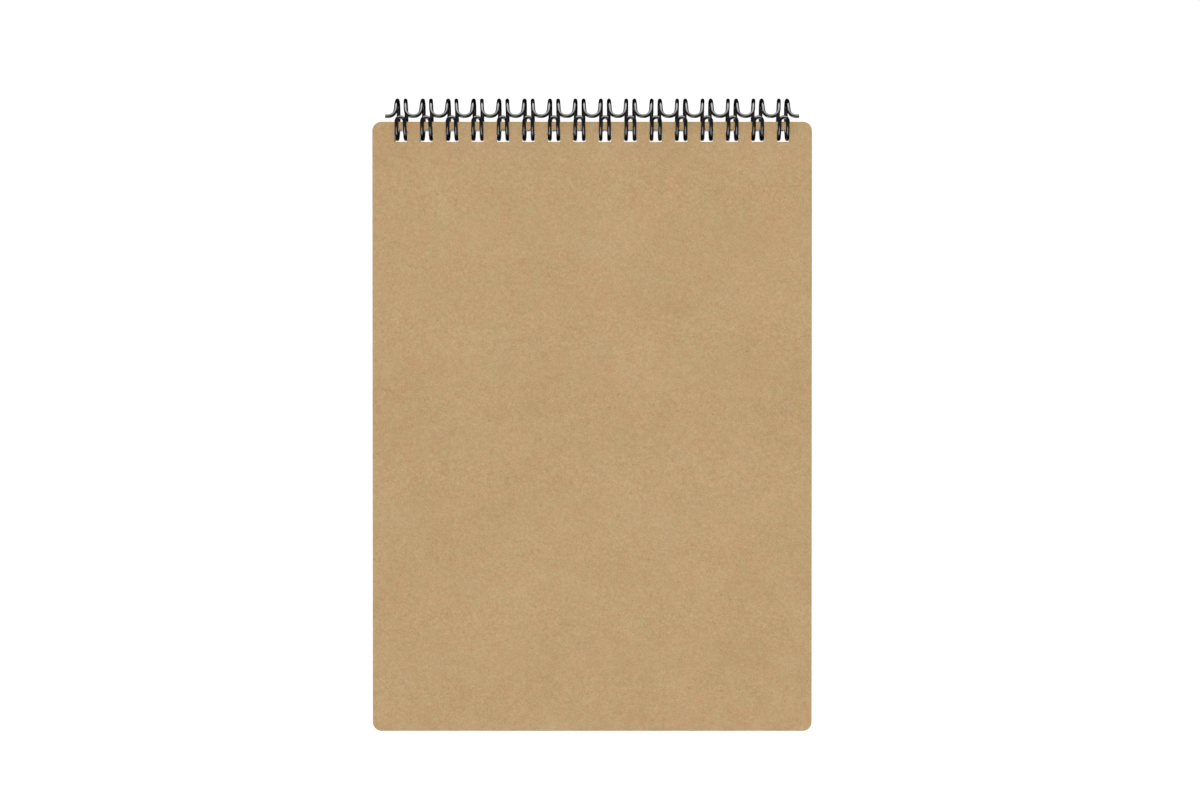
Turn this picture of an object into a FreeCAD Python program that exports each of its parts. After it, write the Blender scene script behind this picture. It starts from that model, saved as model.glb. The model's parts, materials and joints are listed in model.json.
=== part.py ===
import FreeCAD, Part
import os
from math import asin, atan2, cos, pi, radians, sin, tan

import Sketcher
from FreeCAD import Vector

# Wire-bound notebook with card covers, closed by a twin-loop wire and lying on its back, in millimetres.
#
# The binding frame has its origin on the ring's axis at mid-width. Its -Y runs along the pages to their
# far edge, and its +Z is the normal of the covers, with the front cover uppermost. Every sub-part is
# drawn in it. The placement then leans the notebook until the ring and the far edge of the back cover
# both touch the table, and sets the origin under the middle of the whole.
#
# Angles round the ring start at -Y and turn through +Z, so 90 degrees is above the front cover.

SIZES = [
    ("cover_width", 146.0, "covers and pages, along the binding"),
    ("cover_height", 202.5, "covers and pages, from the bound edge to the far edge"),
    ("corner_radius", 3.0, "rounded corners of covers and pages"),
    ("front_cover_thickness", 0.6, "kraft card"),
    ("page_block_thickness", 6.8, "all the sheets pressed together"),
    ("back_cover_thickness", 1.0, "kraft-faced board"),
    ("stack_drop", 0.2, "how far the middle of the stack hangs below the ring's axis"),
    ("edge_offset", 0.9, "bound edge of the stack, from the ring's axis"),
    ("hole_edge_distance", 2.7, "card left between the bound edge and the holes"),
    ("hole_corner_radius", 0.4, "corners of the punched holes"),
    ("hole_near_clearance", 0.11, "ring's inside to the hole's near edge, at the back cover"),
    ("hole_far_clearance", 0.535, "ring's outside to the hole's far edge"),
    ("hole_side_clearance", 0.095, "each outer side of a pair of wires to the hole's side"),
    ("loop_pitch", 8.467, "three loops to the inch"),
    ("least_end_margin", 9.0, "bound edge left beside the first and last loops, at least"),
    ("wire_diameter", 1.27, "steel wire with its coating"),
    ("finger_gap", 2.84, "between the centres of a pair's two wires, in the holes"),
    ("back_gap", 2.5, "the same behind the bound edge, where the pair is closer together"),
    ("seam_angle", 97.0, "where round the ring the wide bends between the loops lie"),
    ("seam_gap", 0.25, "from the wide bends back to the narrow tips, along the ring"),
    ("spread_start", 230.0, "where round the ring a pair begins to spread towards the wide bends"),
    ("spread_end", 125.0, "where round the ring the spread wires turn into the wide bends"),
    ("spread_tilt", 2.3, "angle between a spreading wire's plane and the plane of its ring"),
    ("bend_fullness", 1.25, "radius of the wide bend's middle, for each half width of that bend"),
    ("middle_turn", 19.5, "angle that each half of the wide bend's middle turns"),
    ("corner_turn", 80.0, "angle that the wire has turned after the corner of the wide bend"),
    ("corner_inset", 0.1, "width of the wide bend that is left to each side after its corner"),
    ("end_stub", 0.85, "straight end of the wire past the middle of the outermost bends"),
]

# Each line is a length or an angle that follows from the sizes above
LAYOUT = [
    ("Length", "StackThickness",
     "Sizes.front_cover_thickness + Sizes.page_block_thickness + Sizes.back_cover_thickness"),
    ("Length", "FrontFace", "StackThickness / 2 - Sizes.stack_drop * 1 mm"),
    ("Length", "BackFace", "StackThickness / 2 + Sizes.stack_drop * 1 mm"),
    ("Length", "HoleNearEdge", "Sizes.edge_offset + Sizes.hole_edge_distance"),
    ("Length", "RingInside",
     "sqrt(HoleNearEdge ^ 2 + BackFace ^ 2) + Sizes.hole_near_clearance * 1 mm"),
    ("Length", "RingRadius", "RingInside + Sizes.wire_diameter * 0.5 mm"),
    ("Length", "RingOutside", "RingInside + Sizes.wire_diameter * 1 mm"),
    ("Length", "HoleHeight", "RingOutside + Sizes.hole_far_clearance * 1 mm - HoleNearEdge"),
    ("Length", "HoleWidth", "Sizes.finger_gap + Sizes.wire_diameter + 2 * Sizes.hole_side_clearance"),
    ("Integer", "LoopCount",
     "floor((Sizes.cover_width - 2 * Sizes.least_end_margin) / Sizes.loop_pitch) + 1"),
    ("Length", "RowLength", "(LoopCount - 1) * Sizes.loop_pitch * 1 mm"),
    ("Length", "FarEdge", "Sizes.edge_offset + Sizes.cover_height"),
    ("Angle", "Lean", "asin(RingOutside / sqrt(FarEdge ^ 2 + BackFace ^ 2)) - atan(BackFace / FarEdge)"),
    ("Length", "AxisAcross", "(FarEdge * cos(Lean) + FrontFace * sin(Lean) - RingOutside) / 2"),
]

NODES = ["front_cover", "page_block", "back_cover", "twin_wire"]

doc = FreeCAD.newDocument("notebook")


def make_sizes():
    """The driving sizes, one row each: name, number, meaning."""
    sheet = doc.addObject("Spreadsheet::Sheet", "Sizes")
    for row, (name, value, meaning) in enumerate(SIZES, start=1):
        sheet.set(f"A{row}", name)
        sheet.set(f"B{row}", str(value))
        sheet.set(f"C{row}", meaning)
        sheet.setAlias(f"B{row}", name)
    doc.recompute()
    return sheet


def make_layout():
    """The lengths and angles that follow from the sizes."""
    layout = doc.addObject("App::VarSet", "Layout")
    for kind, name, formula in LAYOUT:
        layout.addProperty(f"App::Property{kind}", name)
        layout.setExpression(name, formula)
        doc.recompute()
    return layout


def new_body(name):
    """An empty sub-part, leaned and set down on the table."""
    body = doc.addObject("PartDesign::Body", name)
    body.Label = name
    body.Placement = FreeCAD.Placement(Vector(), FreeCAD.Rotation(Vector(1, 0, 0), 1))
    body.setExpression("Placement.Base.y", "Layout.AxisAcross")
    body.setExpression("Placement.Base.z", "Layout.RingOutside")
    body.setExpression("Placement.Rotation.Angle", "Layout.Lean")
    return body


def new_sketch(body, name, plane, offsets):
    """A sketch on one of the body's own planes, moved from it by the given expressions."""
    sketch = body.newObject("Sketcher::SketchObject", name)
    support = [part for part in body.Origin.OriginFeatures if part.Role == plane][0]
    sketch.AttachmentSupport = (support, [""])
    sketch.MapMode = "FlatFace"
    for axis, formula in offsets.items():
        sketch.setExpression(f"AttachmentOffset.Base.{axis}", formula)
    return sketch


def bind(sketch, constraint, formula):
    sketch.setExpression(f"Constraints[{sketch.addConstraint(constraint)}]", formula)


def rounded_rectangle(sketch, width, height, top, radius):
    """A rectangle with round corners, centred on the sketch's upright axis, its top edge below the origin.

    Each argument is a pair of the number to start from and the formula that then drives it.
    """
    half, low, high, r = width[0] / 2, -top[0] - height[0], -top[0], radius[0]
    corners = [
        (Vector(half - r, low + r, 0), 270),
        (Vector(half - r, high - r, 0), 0),
        (Vector(r - half, high - r, 0), 90),
        (Vector(r - half, low + r, 0), 180),
    ]
    ends = [
        (Vector(r - half, low, 0), Vector(half - r, low, 0)),
        (Vector(half, low + r, 0), Vector(half, high - r, 0)),
        (Vector(half - r, high, 0), Vector(r - half, high, 0)),
        (Vector(-half, high - r, 0), Vector(-half, low + r, 0)),
    ]
    sides, arcs = [], []
    for (start, end), (centre, angle) in zip(ends, corners):
        circle = Part.Circle(centre, Vector(0, 0, 1), r)
        sides.append(sketch.addGeometry(Part.LineSegment(start, end)))
        arcs.append(sketch.addGeometry(Part.ArcOfCircle(circle, radians(angle), radians(angle + 90))))
    bottom, right, upper, left = sides
    for i in range(4):
        sketch.addConstraint(Sketcher.Constraint("Tangent", sides[i], 2, arcs[i], 1))
        sketch.addConstraint(Sketcher.Constraint("Tangent", arcs[i], 2, sides[(i + 1) % 4], 1))
    for side, direction in ((bottom, "Horizontal"), (right, "Vertical"), (left, "Vertical")):
        sketch.addConstraint(Sketcher.Constraint(direction, side))
    for arc in arcs[1:]:
        sketch.addConstraint(Sketcher.Constraint("Equal", arcs[0], arc))
    bind(sketch, Sketcher.Constraint("Radius", arcs[0], r), radius[1])
    bind(sketch, Sketcher.Constraint("DistanceX", -1, 1, right, 1, half), f"({width[1]}) / 2")
    bind(sketch, Sketcher.Constraint("DistanceX", left, 1, -1, 1, half), f"({width[1]}) / 2")
    bind(sketch, Sketcher.Constraint("DistanceY", upper, 1, -1, 1, top[0]), top[1])
    bind(sketch, Sketcher.Constraint("DistanceY", bottom, 1, upper, 1, height[0]), height[1])


def size(name):
    """A size with its formula."""
    return getattr(sizes, name), f"Sizes.{name}"


def derived(name):
    """A length that follows from the sizes, with its formula."""
    return getattr(layout, name).Value, f"Layout.{name}"


def repeat(body, feature, direction):
    """The feature once for each loop of the wire."""
    row = body.newObject("PartDesign::LinearPattern", f"{body.Name}_row")
    row.Originals = [feature]
    row.Direction = direction
    row.setExpression("Length", "Layout.RowLength")
    row.setExpression("Occurrences", "Layout.LoopCount")
    body.Tip = row
    return row


def make_slab(name, level):
    """One punched slab of the stack, with its underside at the given level."""
    body = new_body(name)
    outline = new_sketch(body, f"{name}_outline", "XY_Plane", {"z": level})
    rounded_rectangle(outline, size("cover_width"), size("cover_height"), size("edge_offset"),
                      size("corner_radius"))
    pad = body.newObject("PartDesign::Pad", f"{name}_pad")
    pad.Profile = outline
    pad.setExpression("Length", f"Sizes.{name}_thickness")

    first_loop = {"x": "-Layout.RowLength / 2", "z": level}
    punch = new_sketch(body, f"{name}_punch", "XY_Plane", first_loop)
    rounded_rectangle(punch, derived("HoleWidth"), derived("HoleHeight"), derived("HoleNearEdge"),
                      size("hole_corner_radius"))
    hole = body.newObject("PartDesign::Pocket", f"{name}_hole")
    hole.Profile = punch
    hole.Type = "ThroughAll"
    hole.Reversed = True
    repeat(body, hole, (punch, ["H_Axis"]))
    return body


def ring_point(x, angle):
    """The point of the ring's centreline cylinder at x and at an angle in radians."""
    radius = layout.RingRadius.Value
    return Vector(x, -radius * cos(angle), radius * sin(angle))


def ring_direction(angle):
    """The way round the ring as the angle grows."""
    return Vector(0, sin(angle), cos(angle))


def along_circle(centre, out, way, radius, turn):
    """The point and the way on after a turn round centre, starting at radius along out in the given way."""
    point = centre + (out * cos(turn) + way * sin(turn)) * radius
    return point, way * cos(turn) - out * sin(turn)


def circle_arc(centre, out, way, radius, turn):
    """The arc that along_circle passes over."""
    points = [along_circle(centre, out, way, radius, turn * share)[0] for share in (0, 0.5, 1)]
    return Part.Arc(*points).toShape()


def tangent_arc(start, corner, end):
    """The arc that leaves start towards corner and reaches end from it, both as far from corner."""
    leg = (start - corner).Length
    inward = (start - corner) + (end - corner)
    half_chord = (end - start).Length / 2
    to_chord = inward.Length / 2
    radius = leg * half_chord / to_chord
    middle = corner + inward.normalize() * ((leg ** 2 / to_chord) - radius)
    return Part.Arc(start, middle, end).toShape()


def two_arcs(start, start_way, end, end_way, first_leg):
    """Two arcs that meet smoothly, from start to end, each leaving in its given direction."""
    across = end - start
    reach = across.dot(across) - 2 * first_leg * across.dot(start_way)
    second_leg = reach / (2 * across.dot(end_way) + 2 * first_leg * (1 - start_way.dot(end_way)))
    first_corner = start + start_way * first_leg
    second_corner = end - end_way * second_leg
    share = first_leg / (first_leg + second_leg)
    meeting = first_corner + (second_corner - first_corner) * share
    return [tangent_arc(start, first_corner, meeting), tangent_arc(meeting, second_corner, end)]


def wide_bend(end, end_way):
    """Half a wide bend, from its middle to where a spread wire begins: flat middle, corner, run-out."""
    seam = radians(sizes.seam_angle)
    up_ring = ring_direction(seam)
    middle = ring_point(-sizes.loop_pitch / 2, seam)
    half_width = end.x - middle.x
    middle_radius = sizes.bend_fullness * half_width
    middle_turn, corner_turn = radians(sizes.middle_turn), radians(sizes.corner_turn)
    flat = (middle + up_ring * middle_radius, -up_ring, Vector(1, 0, 0), middle_radius, middle_turn)
    corner_start, corner_way = along_circle(*flat)
    corner_width = half_width - sizes.corner_inset - middle_radius * sin(middle_turn)
    corner_radius = corner_width / (sin(corner_turn) - sin(middle_turn))
    corner_leg = corner_radius * tan((corner_turn - middle_turn) / 2)
    return [circle_arc(*flat)] + two_arcs(corner_start, corner_way, end, end_way, corner_leg)


def narrow_tip(start, way):
    """The arc over a pair's tip, from the end of its first wire to the same place on the second."""
    along = Vector(0, way.y, way.z)
    inward = atan2(way.x, along.Length)
    rise = -start.x * (1 - sin(inward)) / cos(inward)
    top = Vector(0, start.y, start.z) + along.normalize() * rise
    return Part.Arc(start, top, Vector(-start.x, start.y, start.z)).toShape()


def loop_path():
    """The centreline of one loop, at x = 0: from mid-bend up one wire, over the tip and down the other.

    The first wire lies on a ring turned a little about the upright, so that the pair is wider in the holes
    than behind the bound edge. From spread_start back to spread_end it lies on a second, tilted ring.
    """
    radius = layout.RingRadius.Value
    centre = Vector(-(sizes.finger_gap + sizes.back_gap) / 4, 0, 0)
    lean = asin((sizes.finger_gap - sizes.back_gap) / 4 / radius)
    front, up = Vector(-sin(lean), -cos(lean), 0), Vector(0, 0, 1)
    aside = front.cross(up)

    spread_start = radians(sizes.spread_start)
    tip_start = 2 * pi + radians(sizes.seam_angle) - (sizes.seam_gap + sizes.finger_gap / 2) / radius
    finger_out = front * cos(spread_start) + up * sin(spread_start)
    finger_way = up * cos(spread_start) - front * sin(spread_start)
    finger = (centre, finger_out, finger_way, radius, tip_start - spread_start)

    tilt = radians(sizes.spread_tilt)
    spread_out = finger_out * cos(tilt) - aside * sin(tilt)
    spread_centre = centre + (finger_out - spread_out) * radius
    spread_turn = spread_start - radians(sizes.spread_end)
    bend_end, back_way = along_circle(spread_centre, spread_out, -finger_way, radius, spread_turn)
    spread = (spread_centre, (bend_end - spread_centre) / radius, -back_way, radius, spread_turn)

    rising = wide_bend(bend_end, -back_way) + [circle_arc(*spread), circle_arc(*finger)]
    falling = [edge.mirror(Vector(), Vector(1, 0, 0)) for edge in reversed(rising)]
    return Part.Wire(rising + [narrow_tip(*along_circle(*finger))] + falling)


def section_sketch(body, name, side):
    """The wire's round section at mid-bend, beside the first loop (side -1) or the last (side 1)."""
    x = f"{side} * (Layout.RowLength + Sizes.loop_pitch * 1 mm) / 2"
    section = new_sketch(body, name, "YZ_Plane", {"z": x})
    seam = ring_point(0, radians(sizes.seam_angle))
    circle = section.addGeometry(Part.Circle(Vector(seam.y, seam.z, 0), Vector(0, 0, 1),
                                             sizes.wire_diameter / 2))
    bind(section, Sketcher.Constraint("Diameter", circle, sizes.wire_diameter), "Sizes.wire_diameter")
    bind(section, Sketcher.Constraint("DistanceX", -1, 1, circle, 3, seam.y),
         "-Layout.RingRadius * cos(Sizes.seam_angle * 1 deg)")
    bind(section, Sketcher.Constraint("DistanceY", -1, 1, circle, 3, seam.z),
         "Layout.RingRadius * sin(Sizes.seam_angle * 1 deg)")
    return section


def make_twin_wire():
    """The one bent wire: a row of loops joined by their wide bends, and a short stub at each end."""
    path = doc.addObject("Part::Feature", "loop_path")
    path.Shape = loop_path()
    path.Placement = FreeCAD.Placement(Vector(-layout.RowLength.Value / 2, 0, 0), FreeCAD.Rotation())

    body = new_body("twin_wire")
    section = section_sketch(body, "first_section", -1)
    loop = body.newObject("PartDesign::AdditivePipe", "loop")
    loop.Profile = section
    loop.Spine = (path, [f"Edge{i + 1}" for i in range(len(path.Shape.Edges))])
    repeat(body, loop, (section, ["N_Axis"]))
    for name, side in (("first_stub", -1), ("last_stub", 1)):
        stub = body.newObject("PartDesign::Pad", name)
        stub.Profile = section_sketch(body, f"{name}_section", side)
        stub.setExpression("Length", "Sizes.end_stub")
        stub.Reversed = side < 0
    return body


sizes = make_sizes()
layout = make_layout()
make_slab("back_cover", "-Layout.BackFace")
make_slab("page_block", "-Layout.BackFace + Sizes.back_cover_thickness * 1 mm")
make_slab("front_cover", "Layout.FrontFace - Sizes.front_cover_thickness * 1 mm")
make_twin_wire()
doc.recompute()

for item in doc.Objects:
    if "Invalid" in item.State or "Error" in item.State:
        raise RuntimeError(f"{item.Name} failed: {item.State}")
for node in NODES:
    shape = doc.getObject(node).Shape
    if shape.isNull() or not shape.isValid() or len(shape.Solids) != 1:
        raise RuntimeError(f"{node} is not one valid solid")

os.makedirs("parts", exist_ok=True)
for node in NODES:
    shape = doc.getObject(node).Shape
    shape.exportStep(f"parts/{node}.step")
    box = shape.BoundBox
    print(f"{node}: {shape.Volume:.1f} mm3, x {box.XMin:.3f} to {box.XMax:.3f}, "
          f"y {box.YMin:.3f} to {box.YMax:.3f}, z {box.ZMin:.3f} to {box.ZMax:.3f}")
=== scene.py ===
import json
import math
import random

import bmesh
import bpy
from mathutils import Matrix, Vector


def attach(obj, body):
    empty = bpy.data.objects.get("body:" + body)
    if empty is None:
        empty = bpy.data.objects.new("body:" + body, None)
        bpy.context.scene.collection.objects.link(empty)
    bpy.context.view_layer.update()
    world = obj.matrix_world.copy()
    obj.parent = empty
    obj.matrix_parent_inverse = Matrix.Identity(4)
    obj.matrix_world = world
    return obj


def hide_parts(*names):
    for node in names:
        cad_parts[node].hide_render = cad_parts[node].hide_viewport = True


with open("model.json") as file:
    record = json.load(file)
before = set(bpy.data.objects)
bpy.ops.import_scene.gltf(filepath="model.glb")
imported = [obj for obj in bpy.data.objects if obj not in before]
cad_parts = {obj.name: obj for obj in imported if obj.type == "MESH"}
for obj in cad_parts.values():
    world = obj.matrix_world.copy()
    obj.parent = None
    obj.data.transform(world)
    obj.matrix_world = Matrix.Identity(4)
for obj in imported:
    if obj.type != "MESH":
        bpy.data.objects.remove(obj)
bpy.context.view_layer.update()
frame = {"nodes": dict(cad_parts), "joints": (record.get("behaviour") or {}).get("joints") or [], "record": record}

# Everything is in metres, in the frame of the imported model. The binding frame has its origin on the
# ring's axis, -y along the pages to their far edge and +z out of the front cover.

MM = 0.001
RING_AXIS = Vector(next(j for j in frame["joints"] if j["name"] == "wire_turn")["pos_m"])
FAR_EDGE = next(m for m in frame["record"]["mounts"] if m["name"] == "far_edge")
LEAN = math.asin(-FAR_EDGE["axis"][2])
FROM_BINDING = Matrix.Translation(RING_AXIS) @ Matrix.Rotation(LEAN, 4, "X")
TO_BINDING = FROM_BINDING.inverted()

# Punching and corners, as in the solids
LOOPS = 16
PITCH = 8.467 * MM
HOLE_WIDTH = 4.3 * MM
HOLE_HEIGHT = 4.0 * MM
HOLE_NEAR_EDGE = 3.6 * MM
HOLE_CORNER = 0.4 * MM
CORNER = 3.0 * MM

# Kraft card: grains to the millimetre, then the weights of tone, of pink against green, and of blue
KRAFT_LAYERS = ((0.05, 0.095, 0.05, 0.02), (0.1, 0.042, 0.045, 0.02), (0.19, 0.065, 0.09, 0.03),
                (0.37, 0.08, 0.12, 0.05), (0.75, 0.145, 0.08, 0.07), (1.6, 0.235, 0.065, 0.1),
                (3.2, 0.4, 0.06, 0.25))
# How much each of the three changes red, green and blue
KRAFT_GAINS = ((0.85, 1.0, 1.5), (0.5, -0.5, -0.5), (0.0, 0.0, 1.0))
# Each layer of grain is turned and moved a step further, so that no two of them line up
FIRST_TURN = 0.5
LAYER_TURN = 0.7
LAYER_SHIFT = 3.7
# Directions of the card's fibres, each with a shift of its noise
FIBRES = ((0.25, 0.0), (1.35, 7.0), (2.45, 13.0))
SPECKS_TO_MM = 0.35
SPECK_RARITY = 0.988
FRONT_KRAFT = (188, 157, 115)
BACK_KRAFT = (186, 154, 112)
BACK_SHIFT = 57.0

# The single sheets, and the rounded rims of the punched card and board
SHEETS = 68
SHEET_GAP = 0.004 * MM
SHEET_INSET = 0.1 * MM
SHEET_SHIFT = 0.07 * MM
SHEET_SEED = 7
CARD_EDGE = 0.14 * MM
BOARD_EDGE = 0.22 * MM
EDGE_STEPS = 2
CORNER_STEPS = 10
HOLE_STEPS = 3
WELD = 1e-7
SHARP_ANGLE = math.radians(35)
# How far past the row of holes the painted shade in the holes reaches
WALL_MARGIN = 0.3 * MM

WIRE_END = max(v.co.x for v in frame["nodes"]["twin_wire"].data.vertices)
CUT_DEPTH = 0.01 * MM


def in_binding(node):
    """Lowest and highest corner of a CAD node, in the binding frame."""
    places = [TO_BINDING @ v.co for v in frame["nodes"][node].data.vertices]
    low = Vector(min(p[i] for p in places) for i in range(3))
    high = Vector(max(p[i] for p in places) for i in range(3))
    return low, high


# Shader nodes


class Shader:
    """A new material with short calls for the nodes that it needs."""

    def __init__(self, name):
        self.material = bpy.data.materials.new(name)
        self.material.use_nodes = True
        self.tree = self.material.node_tree
        self.tree.nodes.clear()
        self.output = self.node("ShaderNodeOutputMaterial")
        self.surface = self.node("ShaderNodeBsdfPrincipled")
        self.join(self.surface.outputs["BSDF"], self.output.inputs["Surface"])

    def node(self, kind, **settings):
        made = self.tree.nodes.new(kind)
        for name, value in settings.items():
            setattr(made, name, value)
        return made

    def join(self, output, socket):
        self.tree.links.new(output, socket)

    def set(self, node, **values):
        for name, value in values.items():
            socket = node.inputs[name.replace("_", " ")]
            if isinstance(value, bpy.types.NodeSocket):
                self.join(value, socket)
            else:
                socket.default_value = value
        return node

    def places(self, scale=(1, 1, 1), turn=0.0, shift=0.0):
        """Places on the piece in millimetres, stretched and turned in the plane of the sheet."""
        coordinates = self.node("ShaderNodeTexCoord")
        mapping = self.node("ShaderNodeMapping")
        self.join(coordinates.outputs["Object"], mapping.inputs["Vector"])
        mapping.inputs["Scale"].default_value = [s / MM for s in scale]
        mapping.inputs["Rotation"].default_value[2] = turn
        mapping.inputs["Location"].default_value = (shift, -shift, 2 * shift)
        return mapping.outputs["Vector"]

    def noise(self, places, scale, detail=2.0, roughness=0.5, distortion=0.0):
        made = self.node("ShaderNodeTexNoise")
        self.join(places, made.inputs["Vector"])
        self.set(made, Scale=scale, Detail=detail, Roughness=roughness, Distortion=distortion)
        return made.outputs["Fac"]

    def layers(self, shift, rows):
        """Three sums of plain noises about zero. Each row: grains to the millimetre, then three weights."""
        total = None
        for i, (scale, *weights) in enumerate(rows):
            grain = self.node("ShaderNodeTexNoise")
            places = self.places(turn=FIRST_TURN + LAYER_TURN * i, shift=shift + LAYER_SHIFT * i)
            self.join(places, grain.inputs["Vector"])
            self.set(grain, Scale=scale, Detail=0.0)
            part = self.node("ShaderNodeVectorMath", operation="MULTIPLY_ADD")
            self.join(grain.outputs["Color"], part.inputs[0])
            part.inputs[1].default_value = weights
            if total is None:
                part.inputs[2].default_value = [-0.5 * sum(row[k] for row in rows) for k in (1, 2, 3)]
            else:
                self.join(total, part.inputs[2])
            total = part.outputs[0]
        split = self.node("ShaderNodeSeparateXYZ")
        self.join(total, split.inputs[0])
        return split.outputs

    def remap(self, value, low, high, to_low=0.0, to_high=1.0):
        made = self.node("ShaderNodeMapRange", clamp=True)
        self.join(value, made.inputs["Value"])
        for name, number in zip(("From Min", "From Max", "To Min", "To Max"),
                                (low, high, to_low, to_high)):
            made.inputs[name].default_value = number
        return made.outputs["Result"]

    def math(self, operation, *values):
        made = self.node("ShaderNodeMath", operation=operation)
        for i, value in enumerate(values):
            if isinstance(value, bpy.types.NodeSocket):
                self.join(value, made.inputs[i])
            else:
                made.inputs[i].default_value = value
        return made.outputs[0]

    def mix(self, share, first, second):
        made = self.node("ShaderNodeMix", data_type="RGBA")
        for socket, value in ((made.inputs[0], share), (made.inputs[6], first), (made.inputs[7], second)):
            if isinstance(value, bpy.types.NodeSocket):
                self.join(value, socket)
            elif isinstance(value, tuple):
                socket.default_value = (*value, 1.0)
            else:
                socket.default_value = value
        return made.outputs[2]

    def bump(self, height, strength, distance):
        made = self.node("ShaderNodeBump")
        self.join(height, made.inputs["Height"])
        made.inputs["Strength"].default_value = strength
        made.inputs["Distance"].default_value = distance
        self.join(made.outputs["Normal"], self.surface.inputs["Normal"])


def linear(red, green, blue):
    """A display colour of 0 to 255 as linear light."""
    def one(value):
        share = value / 255
        return share / 12.92 if share <= 0.04045 else ((share + 0.055) / 1.055) ** 2.4
    return one(red), one(green), one(blue)


def facing_up(shader):
    """1 on the broad faces of a sheet, 0 on its cut edges."""
    geometry = shader.node("ShaderNodeNewGeometry")
    split = shader.node("ShaderNodeSeparateXYZ")
    shader.join(geometry.outputs["Normal"], split.inputs[0])
    steep = shader.math("ABSOLUTE", split.outputs["Z"])
    return shader.remap(steep, 0.25, 0.75)


def painted_hole_shade(shader):
    """1 on the upright sides of the punched holes, where shade is painted in as a dark colour, 0 elsewhere."""
    split = shader.node("ShaderNodeSeparateXYZ")
    shader.join(shader.places(), split.inputs[0])
    middle = (FROM_BINDING @ Vector((0, -HOLE_NEAR_EDGE - HOLE_HEIGHT / 2, 0))).y / MM
    away = shader.math("ABSOLUTE", shader.math("SUBTRACT", split.outputs["Y"], middle))
    near_row = shader.math("LESS_THAN", away, (HOLE_HEIGHT / 2 + WALL_MARGIN) / MM)
    across = shader.math("ABSOLUTE", split.outputs["X"])
    within = shader.math("LESS_THAN", across, LOOPS / 2 * PITCH / MM)
    upright = shader.math("SUBTRACT", 1.0, facing_up(shader))
    return shader.math("MULTIPLY", upright, shader.math("MULTIPLY", near_row, within))


def kraft(name, base, shift):
    """Unbleached card: pulp grain of all sizes, pink and green patches, faint fibres and rare specks."""
    shader = Shader(name)
    parts = shader.layers(shift, KRAFT_LAYERS)
    channels = shader.node("ShaderNodeCombineColor")
    for i, level in enumerate(base):
        value = level
        for part, gains in zip(parts, KRAFT_GAINS):
            value = shader.math("MULTIPLY_ADD", part, gains[i] * level, value)
        shader.join(value, channels.inputs[i])
    colour = channels.outputs[0]

    fibres = None
    for turn, offset in FIBRES:
        strands = shader.noise(shader.places((0.42, 3.4, 3.4), turn, shift + offset), 1.0, 2.0, 0.6, 0.6)
        strands = shader.remap(strands, 0.62, 0.8)
        fibres = strands if fibres is None else shader.math("MAXIMUM", fibres, strands)
    colour = shader.mix(shader.math("MULTIPLY", fibres, 0.08), colour, linear(208, 182, 143))

    specks = shader.node("ShaderNodeTexVoronoi", voronoi_dimensions="2D", feature="F1")
    shader.join(shader.places(shift=shift), specks.inputs["Vector"])
    specks.inputs["Scale"].default_value = SPECKS_TO_MM
    split = shader.node("ShaderNodeSeparateColor")
    shader.join(specks.outputs["Color"], split.inputs[0])
    chosen = shader.math("GREATER_THAN", split.outputs[0], SPECK_RARITY)
    near = shader.remap(specks.outputs["Distance"], 0.04, 0.09, 0.75, 0.0)
    colour = shader.mix(shader.math("MULTIPLY", near, chosen), colour, linear(112, 88, 62))

    plies = shader.noise(shader.places((0.6, 0.6, 14.0)), 1.0, 2.0, 0.6)
    edge = shader.mix(shader.remap(plies, 0.3, 0.7), linear(150, 122, 86), linear(190, 162, 122))
    # Painted shade: the sides of the punched holes are coloured near black and lose most of their sheen, standing
    # in for the shade inside the holes
    hole_shade = painted_hole_shade(shader)
    edge = shader.mix(hole_shade, edge, linear(36, 35, 38))
    colour = shader.mix(facing_up(shader), edge, colour)

    grain = shader.noise(shader.places(shift=shift), 1.15, 3.0, 0.72)
    relief = shader.math("MULTIPLY_ADD", fibres, 0.5, shader.math("MULTIPLY", grain, 0.7))
    shader.bump(relief, 0.25, 0.05 * MM)
    shader.set(shader.surface, Base_Color=colour, Roughness=shader.remap(grain, 0.3, 0.7, 0.84, 0.94),
               Specular_IOR_Level=shader.math("MULTIPLY_ADD", hole_shade, -0.15, 0.15))
    return shader.material


def page_paper():
    """Uncoated writing paper, seen mostly as the edges of the stacked sheets."""
    shader = Shader("page_paper_look")
    at = shader.places()
    formation = shader.noise(at, 0.35, 3.0, 0.6)
    colour = shader.mix(shader.remap(formation, 0.3, 0.7), linear(238, 237, 231), linear(246, 245, 240))
    edges = shader.noise(shader.places((0.02, 0.02, 9.0)), 1.0, 2.0, 0.7)
    edge = shader.mix(shader.remap(edges, 0.3, 0.7), linear(214, 212, 204), linear(240, 239, 233))
    # Painted shade: the sides of the punched holes are coloured near black and lose their sheen, standing in for
    # the shade inside the holes
    hole_shade = painted_hole_shade(shader)
    edge = shader.mix(hole_shade, edge, linear(40, 40, 45))
    colour = shader.mix(facing_up(shader), edge, colour)
    tooth = shader.noise(at, 3.0, 3.0, 0.65)
    shader.bump(tooth, 0.2, 0.02 * MM)
    shader.set(shader.surface, Base_Color=colour, Roughness=0.88,
               Specular_IOR_Level=shader.math("MULTIPLY_ADD", hole_shade, -0.2, 0.2))
    return shader.material


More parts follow.
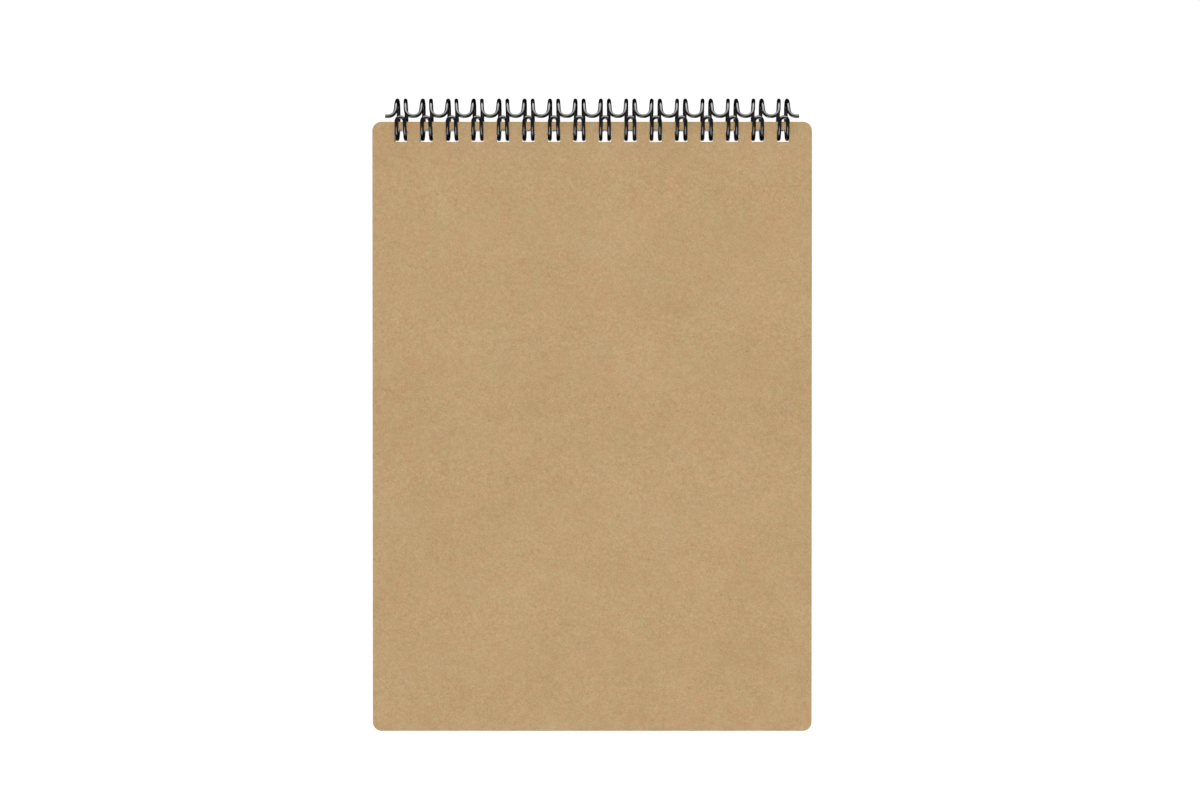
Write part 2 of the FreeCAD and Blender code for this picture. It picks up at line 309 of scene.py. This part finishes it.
def coated_wire():
    """Black nylon-coated steel wire: glossy, faintly rippled and rubbed in patches, bare where it is cut."""
    shader = Shader("coated_wire_look")
    at = shader.places()
    ripple = shader.noise(at, 1.6, 2.0, 0.5)
    rubbed = shader.noise(at, 0.45, 3.0, 0.6)
    colour = shader.mix(shader.remap(rubbed, 0.45, 0.75), linear(10, 10, 11), linear(20, 20, 21))
    roughness = shader.remap(rubbed, 0.35, 0.7, 0.12, 0.2)
    split = shader.node("ShaderNodeSeparateXYZ")
    shader.join(at, split.inputs[0])
    across = shader.math("ABSOLUTE", split.outputs["X"])
    cut = shader.math("GREATER_THAN", across, (WIRE_END - CUT_DEPTH) / MM)
    colour = shader.mix(cut, colour, linear(150, 150, 152))
    roughness = shader.math("MAXIMUM", roughness, shader.math("MULTIPLY", cut, 0.4))
    shader.bump(ripple, 0.12, 0.05 * MM)
    shader.set(shader.surface, Base_Color=colour, Roughness=roughness, Metallic=cut)
    shader.surface.inputs["Specular IOR Level"].default_value = 0.5
    return shader.material


def plain_floor():
    """A pale, back-lit table top, so that the object's shadow on it stays faint."""
    shader = Shader("plain_floor_look")
    shader.set(shader.surface, Base_Color=(0.2, 0.2, 0.2, 1.0), Roughness=0.9)
    shader.surface.inputs["Specular IOR Level"].default_value = 0.0
    shader.surface.inputs["Emission Color"].default_value = (1.0, 1.0, 1.0, 1.0)
    shader.surface.inputs["Emission Strength"].default_value = 0.9
    return shader.material


# Sheets of card and paper


def rounded_outline(left, right, low, high, radius, steps):
    """The points of a rectangle with round corners, anticlockwise."""
    points = []
    corners = [(right - radius, low + radius, -90), (right - radius, high - radius, 0),
               (left + radius, high - radius, 90), (left + radius, low + radius, 180)]
    for x, y, first in corners:
        for i in range(steps + 1):
            angle = math.radians(first + 90 * i / steps)
            points.append((x + radius * math.cos(angle), y + radius * math.sin(angle)))
    return points


def sheet_mesh(low, high, inset, soft_edge, edge_steps):
    """A punched sheet as a closed mesh between two corners, in the binding frame.

    Its rims are rounded by soft_edge, and the sheet is inset from the given corners all round.
    """
    curve = bpy.data.curves.new("sheet", "CURVE")
    curve.dimensions = "2D"
    curve.fill_mode = "BOTH"
    curve.extrude = (high.z - low.z) / 2 - soft_edge
    curve.bevel_depth = soft_edge
    curve.bevel_resolution = edge_steps
    curve.offset = -soft_edge
    loops = [rounded_outline(low.x + inset, high.x - inset, low.y + inset, high.y - inset, CORNER,
                             CORNER_STEPS)]
    for i in range(LOOPS):
        x = (i - (LOOPS - 1) / 2) * PITCH
        loops.append(rounded_outline(x - HOLE_WIDTH / 2, x + HOLE_WIDTH / 2,
                                     -HOLE_NEAR_EDGE - HOLE_HEIGHT, -HOLE_NEAR_EDGE,
                                     HOLE_CORNER, HOLE_STEPS))
    for points in loops:
        spline = curve.splines.new("POLY")
        spline.points.add(len(points) - 1)
        for point, (x, y) in zip(spline.points, points):
            point.co = (x, y, 0.0, 1.0)
        spline.use_cyclic_u = True
    carrier = bpy.data.objects.new("sheet", curve)
    mesh = bpy.data.meshes.new_from_object(carrier)
    bpy.data.objects.remove(carrier)
    bpy.data.curves.remove(curve)
    mesh.transform(Matrix.Translation((0, 0, (low.z + high.z) / 2)))
    return mesh


def finish_mesh(mesh, name):
    """Welds the mesh, shades its curved rims smoothly and makes it an object in the model's frame."""
    shape = bmesh.new()
    shape.from_mesh(mesh)
    bmesh.ops.remove_doubles(shape, verts=shape.verts, dist=WELD)
    bmesh.ops.recalc_face_normals(shape, faces=shape.faces)
    shape.to_mesh(mesh)
    shape.free()
    mesh.transform(FROM_BINDING)
    mesh.shade_smooth()
    mesh.set_sharp_from_angle(angle=SHARP_ANGLE)
    mesh.name = name
    piece = bpy.data.objects.new(name, mesh)
    bpy.context.scene.collection.objects.link(piece)
    level = piece.modifiers.new("level_faces", "WEIGHTED_NORMAL")
    level.keep_sharp = True
    return piece


def make_cover(node, name, soft_edge, look):
    """A punched card or board with rounded rims, in place of its CAD node."""
    low, high = in_binding(node)
    piece = finish_mesh(sheet_mesh(low, high, 0.0, soft_edge, EDGE_STEPS), name)
    piece.data.materials.append(look)
    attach(piece, node)
    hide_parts(node)
    return piece


def make_pages(look):
    """All the sheets, each a hair out of line with the next, as a knocked-up stack has them."""
    low, high = in_binding("page_block")
    step = (high.z - low.z) / SHEETS
    one = sheet_mesh(Vector((low.x, low.y, 0)), Vector((high.x, high.y, step - SHEET_GAP)),
                     SHEET_INSET, 0.0, 0)
    points = [v.co.copy() for v in one.vertices]
    faces = [tuple(p.vertices) for p in one.polygons]
    bpy.data.meshes.remove(one)
    draw = random.Random(SHEET_SEED)
    places, polygons = [], []
    for i in range(SHEETS):
        shift = Vector((draw.uniform(-SHEET_SHIFT, SHEET_SHIFT), draw.uniform(-SHEET_SHIFT, SHEET_SHIFT),
                        low.z + i * step + SHEET_GAP / 2))
        base = len(places)
        places += [p + shift for p in points]
        polygons += [tuple(base + k for k in face) for face in faces]
    mesh = bpy.data.meshes.new("page_sheets")
    mesh.from_pydata(places, [], polygons)
    piece = finish_mesh(mesh, "page_sheets")
    piece.data.materials.append(look)
    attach(piece, "pages")
    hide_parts("page_block")
    return piece


def dress(node, look):
    """A carried-over CAD node in a better material."""
    slots = frame["nodes"][node].data.materials
    slots.clear()
    slots.append(look)


# Camera, lights and floor

# The photo is 1200 pixels wide. Its loops repeat every 25.42 pixels, which gives the scale at the ring's
# axis. The camera looks straight down from CAMERA_HEIGHT above that axis.
PHOTO_WIDTH = 1200
LOOP_PIXELS = 25.42
CAMERA_HEIGHT = 1.2
CAMERA_RIGHT = 0.0026
CAMERA_UP = 0.00535
SENSOR = 36.0
LIGHT_DISTANCE = 4.0
FLOOR_HALF = 4.0
FLOOR_DROP = 0.02 * MM


def look_at(thing, target):
    thing.rotation_mode = "QUATERNION"
    thing.rotation_quaternion = (Vector(target) - thing.location).to_track_quat("-Z", "Y")


def add_camera():
    data = bpy.data.cameras.new("camera")
    data.sensor_width = SENSOR
    data.lens = SENSOR * CAMERA_HEIGHT / (PHOTO_WIDTH * PITCH / LOOP_PIXELS)
    data.clip_start = 0.05
    data.clip_end = 20.0
    camera = bpy.data.objects.new("camera", data)
    camera.location = (CAMERA_RIGHT, CAMERA_UP, RING_AXIS.z + CAMERA_HEIGHT)
    bpy.context.scene.collection.objects.link(camera)
    bpy.context.scene.camera = camera


def add_softbox(name, azimuth, elevation, width, height, radiance, glossy):
    """A softbox that faces the origin and shows in the gloss alone, or else lights the matt faces alone.

    The azimuth turns from +y towards -x, and both angles are in degrees.
    """
    data = bpy.data.lights.new(name, "AREA")
    data.shape = "RECTANGLE"
    data.size = width
    data.size_y = height
    data.energy = radiance * math.pi * width * height
    light = bpy.data.objects.new(name, data)
    turn, rise = math.radians(azimuth), math.radians(elevation)
    level = LIGHT_DISTANCE * math.cos(rise)
    light.location = (-level * math.sin(turn), level * math.cos(turn), LIGHT_DISTANCE * math.sin(rise))
    look_at(light, (0, 0, 0))
    light.visible_diffuse = not glossy
    light.visible_glossy = glossy
    bpy.context.scene.collection.objects.link(light)


def add_floor(look):
    corners = [(x * FLOOR_HALF, y * FLOOR_HALF, 0) for x, y in ((-1, -1), (1, -1), (1, 1), (-1, 1))]
    mesh = bpy.data.meshes.new("floor")
    mesh.from_pydata(corners, [], [(0, 1, 2, 3)])
    mesh.materials.append(look)
    floor = bpy.data.objects.new("floor", mesh)
    floor.location.z = -FLOOR_DROP
    floor.visible_glossy = False
    floor.visible_shadow = False
    bpy.context.scene.collection.objects.link(floor)


def set_world(sides, top):
    """A white tent over the table, brighter at its sides than at its top and black below the table."""
    world = bpy.data.worlds.new("studio")
    world.use_nodes = True
    tree = world.node_tree
    direction = tree.nodes.new("ShaderNodeTexCoord")
    split = tree.nodes.new("ShaderNodeSeparateXYZ")
    tree.links.new(direction.outputs["Generated"], split.inputs[0])
    strength = tree.nodes.new("ShaderNodeMath")
    strength.operation = "MULTIPLY"
    for i, numbers in enumerate(((-0.02, 0.02, 0.0, sides), (0.5, 0.9, 1.0, top / sides))):
        ramp = tree.nodes.new("ShaderNodeMapRange")
        tree.links.new(split.outputs["Z"], ramp.inputs["Value"])
        for name, number in zip(("From Min", "From Max", "To Min", "To Max"), numbers):
            ramp.inputs[name].default_value = number
        tree.links.new(ramp.outputs["Result"], strength.inputs[i])
    tree.links.new(strength.outputs[0], tree.nodes["Background"].inputs["Strength"])
    tree.nodes["Background"].inputs["Color"].default_value = (1.0, 1.0, 1.0, 1.0)
    bpy.context.scene.world = world


add_camera()
add_floor(plain_floor())
set_world(sides=0.4, top=0.12)
add_softbox("overhead_strip", azimuth=0, elevation=88, width=0.4, height=3.0, radiance=33.5, glossy=False)
add_softbox("back_softbox", azimuth=0, elevation=21, width=6.2, height=4.8, radiance=9.5, glossy=True)
add_softbox("front_softbox", azimuth=166, elevation=17, width=2.9, height=4.2, radiance=6.0, glossy=True)
bpy.context.scene.view_settings.view_transform = "Standard"

make_cover("front_cover", "front_card", CARD_EDGE,
           kraft("kraft_card_look", linear(*FRONT_KRAFT), 0.0))
make_cover("back_cover", "back_board", BOARD_EDGE,
           kraft("kraft_board_look", linear(*BACK_KRAFT), BACK_SHIFT))
make_pages(page_paper())
dress("twin_wire", coated_wire())
